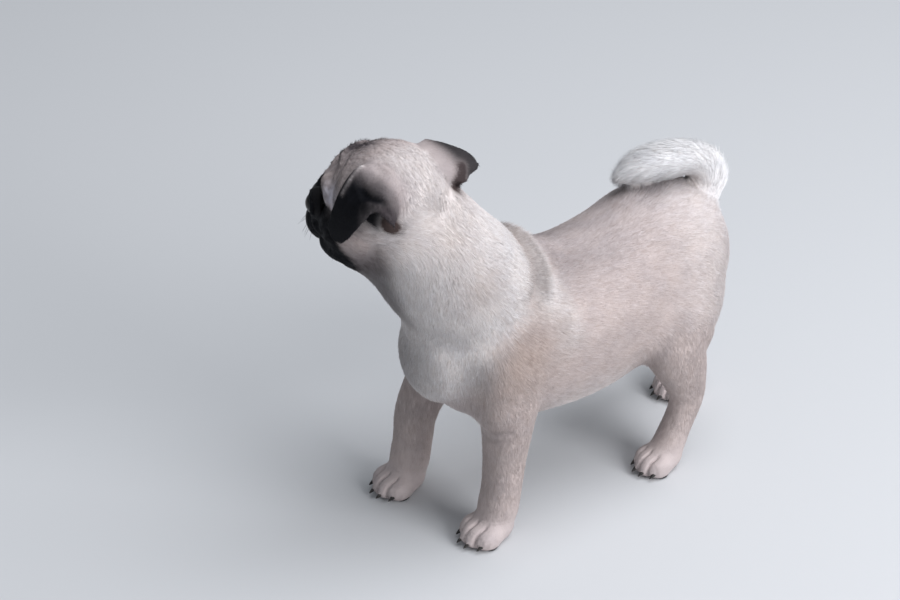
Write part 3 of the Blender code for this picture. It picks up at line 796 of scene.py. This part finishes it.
def grow_coat(name, where, clumps, width, seed, own_shade=0.45, ragged=0.25, bright=0.5):
    """Tufts over the faces of the skin that where picks, in so many clumps.

    A tuft shows own_shade of its own roundness, their lengths differ by ragged, and bright is their tone.
    """
    draw = np.random.default_rng(seed)
    area = np.cumsum(face_area * where)
    spacing = math.sqrt(area[-1] / clumps)
    at = np.searchsorted(area, (np.arange(clumps) + draw.random(clumps)) / clumps * area[-1])
    at = np.repeat(at.clip(0, faces - 1), PER_CLUMP)
    total = len(at)
    tone = np.repeat(draw.normal(bright, 0.16, clumps), PER_CLUMP)
    swing = np.repeat(draw.normal(0, 0.09, clumps), PER_CLUMP)
    ahead, aside = draw.uniform(-1.2, 1.2, total), draw.uniform(-0.8, 0.8, total)
    sideways = np.cross(face_normal[at], face_lie[at])
    wanted = face_middle[at] + spacing * (face_lie[at] * ahead[:, None] + sideways * aside[:, None])
    roots, hit = np.empty((total, 3)), np.empty(total, int)
    for i, point in enumerate(wanted.tolist()):
        roots[i], _, hit[i], _ = surface.find_nearest(point)
    # Each tuft turns a little toward the middle of its clump, and one in twenty stands out further.
    out, along = face_normal[hit], face_lie[hit]
    turn = swing + draw.normal(0, 0.10, total) - 0.25 * aside * spacing / face_hair[hit, 0].clip(0.002)
    along = unit(along + np.cross(out, along) * turn[:, None])
    across = np.cross(out, along)
    length = (face_hair[hit, 0] * draw.uniform(1 - ragged, 1 + ragged, total))[:, None]
    stray = np.where(draw.random(total) < 0.05, 1.6, 1.0)
    lift = (face_hair[hit, 1] * draw.uniform(0.6, 1.15, total) * stray)[:, None]
    half = (width * draw.uniform(0.7, 1.2, total) / 2)[:, None]
    roots = roots - out * 0.0002
    tips = roots + along * length + out * (length * lift)
    ridge = roots + out * (half * 0.8)
    points = np.stack([roots - across * half, roots + across * half, ridge, tips], axis=1)
    points[:, :, 2] = np.maximum(points[:, :, 2], 0.0002)
    mesh = join_tufts(name, points, face_flat[hit])
    set_values(mesh, "marks_and_shade", "FLOAT_VECTOR", np.repeat(face_marks_and_shade[hit], 4, axis=0))
    set_values(mesh, "tints_and_highlights", "FLOAT_VECTOR", np.repeat(face_tints_and_highlights[hit], 4, axis=0))
    set_values(mesh, "tone", "FLOAT", np.repeat(tone + draw.normal(0, 0.12, total), 4))
    set_values(mesh, "tip", "FLOAT", np.tile((0.0, 0.0, 0.0, 1.0), total))
    # A tuft takes most of its shading from the body under it, as soft hair does.
    own = numbers(mesh.vertex_normals, "vector", 3)
    shading = own_shade * own + (1 - own_shade) * np.repeat(out, 4, axis=0)
    mesh.normals_split_custom_set_from_vertices(unit(shading))
    mesh.materials.append(coat)
    show(name, mesh)


def part_is(*names):
    return np.isin(face_part, [FLESH.index(name) for name in names]).astype(float)


# No hair grows in the eye sockets, in the ears' canals and on their lobes, under the nose pad or under the
# soles. Each bare place is its middle on the head and its radius or half sizes.
EYE_SOCKET = 0.0114
SOLE_HEIGHT = 0.0016
BARE_IN_EAR = (((0.0338, 0.0280, 0.0018), 0.0066), ((0.0310, 0.0355, -0.0045), 0.0072))
BARE_NOSE, BARE_NOSE_SIZE = (0, -0.0545, -0.0038), (0.0112, 0.0080, 0.0078)
face_head = in_head(face_middle)
bare = (face_middle[:, 2] < SOLE_HEIGHT) & (part_is(*LEG_NODES) > 0)
for side in (1, -1):
    bare |= np.linalg.norm(face_middle - np.array(eye_places[side]), axis=1) < EYE_SOCKET
    for middle, radius in BARE_IN_EAR:
        bare |= np.linalg.norm(face_head - np.array(middle) * (side, 1, 1), axis=1) < radius
bare |= np.linalg.norm((face_head - BARE_NOSE) / BARE_NOSE_SIZE, axis=1) < 1
haired = (~bare).astype(float)
left_half = (face_middle[:, 0] > drawing_origin.x).astype(float)
high_half = (face_middle[:, 2] > 0.150).astype(float)
TRUNK_QUARTERS = (
    ("coat_back_left", left_half * high_half),
    ("coat_flank_left", left_half * (1 - high_half)),
    ("coat_back_right", (1 - left_half) * high_half),
    ("coat_flank_right", (1 - left_half) * (1 - high_half)),
)
for seed, (name, where) in enumerate(TRUNK_QUARTERS, start=11):
    grow_coat(name, part_is("torso") * where, 6400, 0.00058, seed)
grow_coat("coat_neck", part_is("neck"), 7600, 0.00052, 21)
grow_coat("coat_head", part_is("head") * haired, 7400, 0.00042, 22)
grow_coat("coat_ears", part_is("ear_left", "ear_right"), 2600, 0.00035, 23)
forelegs, hindlegs = part_is(*LEG_NODES[:2]) * haired, part_is(*LEG_NODES[2:]) * haired
grow_coat("coat_forelegs", forelegs, 5800, 0.00038, 24, own_shade=0.3)
grow_coat("coat_hindlegs", hindlegs, 6600, 0.00040, 25, own_shade=0.3)
grow_coat(
    "coat_tail", part_is("tail"), 6000, 0.00046, 26, own_shade=0.35, ragged=0.55, bright=0.95,
)

# The eyes
# A dark, wet ball with a brown iris, a round pupil and a clear bulge over them. Black lids close over it
# from behind and leave an almond-shaped opening, with a fold in the upper one.
EYE_LOOK = (0.54, -0.84, 0.08)
CLEAR_BULGE = 0.0007
# The lids in section, from their margin back: how far round the ball, and how high over it.
LID_PROFILE = (
    (0.00, 0.00030), (0.02, 0.00055), (0.08, 0.00080), (0.20, 0.00100), (0.38, 0.00115), (0.58, 0.00130),
    (0.80, 0.00140), (1.00, 0.00140), (1.05, 0.00080), (1.00, 0.00006), (0.80, 0.00006), (0.58, 0.00006),
    (0.38, 0.00006), (0.20, 0.00006), (0.08, 0.00006), (0.01, 0.00012),
)
# Half the opening, in degrees from the middle of the look, how much wider it is at both corners and at the
# corner by the nose, and where the lids end behind.
OPENING, AT_CORNERS, BY_NOSE = 45, 11, 4
LIDS_END = math.radians(102)
# The plain ring that the lids are bent from.
RING_RADIUS = 0.01
SECTION_RADIUS = 0.001


def mottle(tree, shader, pattern, dark, light):
    """A colour that wanders between two shades."""
    tree.links.new(ramp(tree, pattern, (0.3, dark), (0.7, light)), shader.inputs["Base Color"])


wet, tree, shader = material("wet eye", 0.06, 0.28)
iris = ramp(
    tree, attribute(tree, "ring", "Fac"),
    (0.00, (0.0015, 0.0015, 0.0015)), (0.30, (0.0015, 0.0015, 0.0015)), (0.36, (0.020, 0.0085, 0.0040)),
    (0.54, (0.026, 0.0110, 0.0050)), (0.68, (0.006, 0.004, 0.003)), (0.74, (0.003, 0.002, 0.002)),
    (0.90, (0.006, 0.005, 0.005)),
)
fleck = ramp(tree, noise(tree, 900, 2), (0.3, (0.7, 0.7, 0.7)), (0.7, (1.2, 1.2, 1.2)))
tree.links.new(mix_node(tree, "MULTIPLY", 1.0, iris, fleck), shader.inputs["Base Color"])
lid_skin, tree, shader = material("lid skin", 0.62, 0.14)
mottle(tree, shader, noise(tree, 1200, 2), (0.0045, 0.0045, 0.006), (0.010, 0.009, 0.010))
for side, name in ((1, "eye_left"), (-1, "eye_right")):
    middle = eye_places[side]
    low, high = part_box(name)
    radius = (high.x - low.x) / 2
    look = Vector(from_head((side * EYE_LOOK[0], EYE_LOOK[1], EYE_LOOK[2]))).normalized()
    turn = look.to_track_quat("Z", "Y").to_matrix().to_4x4()
    ball = bmesh.new()
    bmesh.ops.create_uvsphere(
        ball, u_segments=40, v_segments=32, radius=radius, matrix=Matrix.Translation(middle) @ turn,
    )
    angles = []
    for vert in ball.verts:
        angle = (vert.co - middle).angle(look)
        angles.append(angle)
        vert.co += look * (CLEAR_BULGE * max(0.0, math.cos(min(angle * 1.9, math.pi / 2))))
    eye = new_piece(name + "_ball", ball)
    set_values(eye.data, "ring", "FLOAT", angles)
    eye.data.materials.append(wet)
    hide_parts(name)
    lids = bmesh.new()
    stand = Matrix.Translation((RING_RADIUS, 0, 0)) @ Matrix.Rotation(math.pi / 2, 4, "X")
    bmesh.ops.create_circle(lids, segments=len(LID_PROFILE), radius=SECTION_RADIUS, matrix=stand)
    bmesh.ops.spin(
        lids, geom=lids.edges[:], cent=(0, 0, 0), axis=(0, 0, 1), angle=2 * math.pi, steps=64, use_merge=True,
    )
    outward = Vector(from_head((side, 0, 0)))
    wide = (outward - look * outward.dot(look)).normalized()
    tall = look.cross(wide) * side
    for vert in lids.verts:
        round_eye = math.atan2(vert.co.y, vert.co.x)
        round_section = math.atan2(vert.co.z, math.hypot(vert.co.x, vert.co.y) - RING_RADIUS)
        step = round(round_section / (2 * math.pi) * len(LID_PROFILE))
        share, height = LID_PROFILE[step % len(LID_PROFILE)]
        corner = abs(math.cos(round_eye)) ** 2.4
        inner_corner = corner if math.cos(round_eye) < 0 else 0
        opening = math.radians(OPENING + AT_CORNERS * corner + BY_NOSE * inner_corner)
        upper = max(0.0, math.sin(round_eye))
        height += 0.0006 * upper * math.exp(-((share - 0.38) / 0.12) ** 2)
        height -= 0.0005 * upper * math.exp(-((share - 0.22) / 0.06) ** 2)
        angle = opening + share * (LIDS_END - opening)
        across = wide * math.cos(round_eye) + tall * math.sin(round_eye)
        vert.co = middle + (look * math.cos(angle) + across * math.sin(angle)) * (radius + height)
    bmesh.ops.recalc_face_normals(lids, faces=lids.faces)
    lid = new_piece(name + "_lids", lids)
    lid.data.materials.append(lid_skin)

# The nose
# A broad, flat pad of black, pebbled, moist leather with two comma-shaped nostrils, softened from its solid.
nose = new_piece("nose_pad", merged_solid("nose"))
finer = nose.modifiers.new("Finer", "REMESH")
finer.mode = "VOXEL"
finer.voxel_size = 0.00035
soften = nose.modifiers.new("Soften", "SMOOTH")
soften.factor = 0.5
soften.iterations = 10
apply_modifiers(nose)
nose.data.shade_smooth()
leather, tree, shader = material("nose leather", 0.38, 0.5, 0.25)
place = tree.nodes.new("ShaderNodeTexCoord")
pebbles = tree.nodes.new("ShaderNodeTexVoronoi")
pebbles.inputs["Scale"].default_value = 1500
tree.links.new(place.outputs["Object"], pebbles.inputs["Vector"])
raise_surface(tree, shader, pebbles.outputs["Distance"], 0.7, 0.0003)
grain = ramp(tree, pebbles.outputs["Distance"], (0.1, (0.014, 0.014, 0.016)), (0.7, (0.005, 0.005, 0.006)))
tree.links.new(grain, shader.inputs["Base Color"])
nose.data.materials.clear()
nose.data.materials.append(leather)
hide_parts("nose")

# The feet
# Four close toes on each foot, each with a blunt, dark, curved claw of horn, and soft pads of thick black
# skin under the toes and behind them. Every claw and pad is a ball drawn out and flattened.
CLAW_LENGTH, CLAW_WIDTH, CLAW_HEIGHT = 0.0036, 0.0020, 0.0022
CLAW_DROP = 0.0024
claws, pads = bmesh.new(), bmesh.new()
for (foot_x, foot_y), width, length in FEET:
    for across in (-1, -1 / 3, 1 / 3, 1):
        toe = drawing_origin + Vector((
            foot_x + across * width * TOE_SPREAD, foot_y - length * (0.40 - 0.16 * across ** 2), 0
        ))
        tip = toe + Vector((0, -length * 0.27 + 0.0012, 0.0052))
        for vert in bmesh.ops.create_uvsphere(claws, u_segments=12, v_segments=12, radius=1)["verts"]:
            along = (vert.co.z + 1) / 2
            thin = 1.0 - 0.55 * along
            vert.co = tip + Vector((
                vert.co.x * CLAW_WIDTH * thin,
                -vert.co.z * CLAW_LENGTH,
                vert.co.y * CLAW_HEIGHT * thin - CLAW_DROP * along * along + 0.0006,
            ))
        for vert in bmesh.ops.create_uvsphere(pads, u_segments=16, v_segments=10, radius=1)["verts"]:
            vert.co = toe + Vector((
                vert.co.x * width * 0.105, vert.co.y * length * 0.14 + 0.0006, vert.co.z * 0.0027 + 0.0019
            ))
    heel = drawing_origin + Vector((foot_x, foot_y + 0.004, 0))
    for vert in bmesh.ops.create_uvsphere(pads, u_segments=24, v_segments=12, radius=1)["verts"]:
        lobes = 1 + 0.10 * math.cos(3 * math.atan2(vert.co.x, -vert.co.y))
        vert.co = heel + Vector((
            vert.co.x * width * 0.25 * lobes, vert.co.y * length * 0.19 * lobes, vert.co.z * 0.0032 + 0.0022
        ))
for under in (claws, pads):
    for vert in under.verts:
        vert.co.z = max(vert.co.z, 0.0)
horn, tree, shader = material("claw horn", 0.35, 0.5, 0.15)
mottle(tree, shader, noise(tree, 500, 3, (1, 0.25, 1)), (0.012, 0.011, 0.011), (0.050, 0.044, 0.040))
claw_piece = new_piece("claws", claws)
claw_piece.data.materials.append(horn)
pad_skin, tree, shader = material("pad skin", 0.6, 0.4)
mottle(tree, shader, noise(tree, 700, 4), (0.014, 0.013, 0.014), (0.040, 0.036, 0.036))
raise_surface(tree, shader, noise(tree, 1500, 3), 0.6, 0.0003)
pad_piece = new_piece("paw_pads", pads)
pad_piece.data.materials.append(pad_skin)

# The whiskers
# Short, stiff black bristles in rows on the flews, with one or two on each cheek and over each eye. Each is
# a thin cone rooted in the skin.
WHISKERS = (
    (0.0200, -0.0530, -0.0140), (0.0215, -0.0500, -0.0180), (0.0205, -0.0515, -0.0225),
    (0.0175, -0.0560, -0.0170), (0.0165, -0.0565, -0.0215), (0.0240, -0.0450, -0.0200),
    (0.0125, -0.0585, -0.0190), (0.0350, -0.0200, -0.0250), (0.0340, -0.0180, -0.0270),
    (0.0240, -0.0330, 0.0170), (0.0215, -0.0350, 0.0175),
)
WHISKER_SHORTEST, WHISKER_LONGEST = 0.008, 0.013
whisker_draw = np.random.default_rng(31)
bristles = bmesh.new()
for side in (1, -1):
    backward = Vector(from_head((side * 0.35, 0.75, -0.25)))
    for across, behind, above in WHISKERS:
        start = skull_middle + Vector(from_head((side * across, behind, above)))
        root, outward, _, _ = surface.find_nearest(start)
        way = (outward * 0.75 + backward * whisker_draw.uniform(0.7, 1.0)).normalized()
        long = whisker_draw.uniform(WHISKER_SHORTEST, WHISKER_LONGEST)
        turn = way.to_track_quat("Z", "Y").to_matrix().to_4x4()
        bmesh.ops.create_cone(
            bristles, cap_ends=True, segments=5, radius1=0.00017, radius2=0.00004, depth=long,
            matrix=Matrix.Translation(root + way * (long / 2 - 0.0006)) @ turn,
        )
bmesh.ops.recalc_face_normals(bristles, faces=bristles.faces)
whiskers = new_piece("whiskers", bristles)
bristle, tree, shader = material("whisker bristle", 0.4, 0.4)
mottle(tree, shader, noise(tree, 300, 2), (0.006, 0.006, 0.007), (0.02, 0.02, 0.02))
whiskers.data.materials.append(bristle)

# The floor and the light
# A plain pale floor under a soft, slightly cool sky, with a brighter side to the puppy's left.
floor_shape = bmesh.new()
bmesh.ops.create_grid(floor_shape, x_segments=1, y_segments=1, size=6)
floor_mesh = bpy.data.meshes.new("Floor")
floor_shape.to_mesh(floor_mesh)
floor_shape.free()
floor = bpy.data.objects.new("Floor", floor_mesh)
bpy.context.scene.collection.objects.link(floor)
pale, tree, shader = material("pale floor", 0.9, 0.2)
shader.inputs["Base Color"].default_value = (0.62, 0.63, 0.64, 1)
floor.data.materials.append(pale)
world = bpy.data.worlds.new("Sky")
world.use_nodes = True
sky = world.node_tree.nodes["Background"]
sky.inputs["Color"].default_value = (0.86, 0.92, 1.0, 1)
sky.inputs["Strength"].default_value = 0.28
bpy.context.scene.world = world
bpy.context.scene.view_settings.view_transform = "Standard"


def soft_lamp(name, place, size, energy, colour):
    """A round lamp that looks at the puppy."""
    lamp = bpy.data.objects.new(name, bpy.data.lights.new(name, "AREA"))
    lamp.data.shape = "DISK"
    lamp.data.size = size
    lamp.data.energy = energy
    lamp.data.color = colour
    lamp.location = place
    lamp.rotation_euler = (Vector((0, 0, 0.15)) - Vector(place)).to_track_quat("-Z", "Y").to_euler()
    bpy.context.scene.collection.objects.link(lamp)


soft_lamp("Sky above", (0.5, 0.6, 2.5), 2.0, 47, (0.94, 0.955, 1.0))
soft_lamp("Bright side", (1.9, 0.6, 1.2), 1.4, 38, (0.97, 0.97, 1.0))
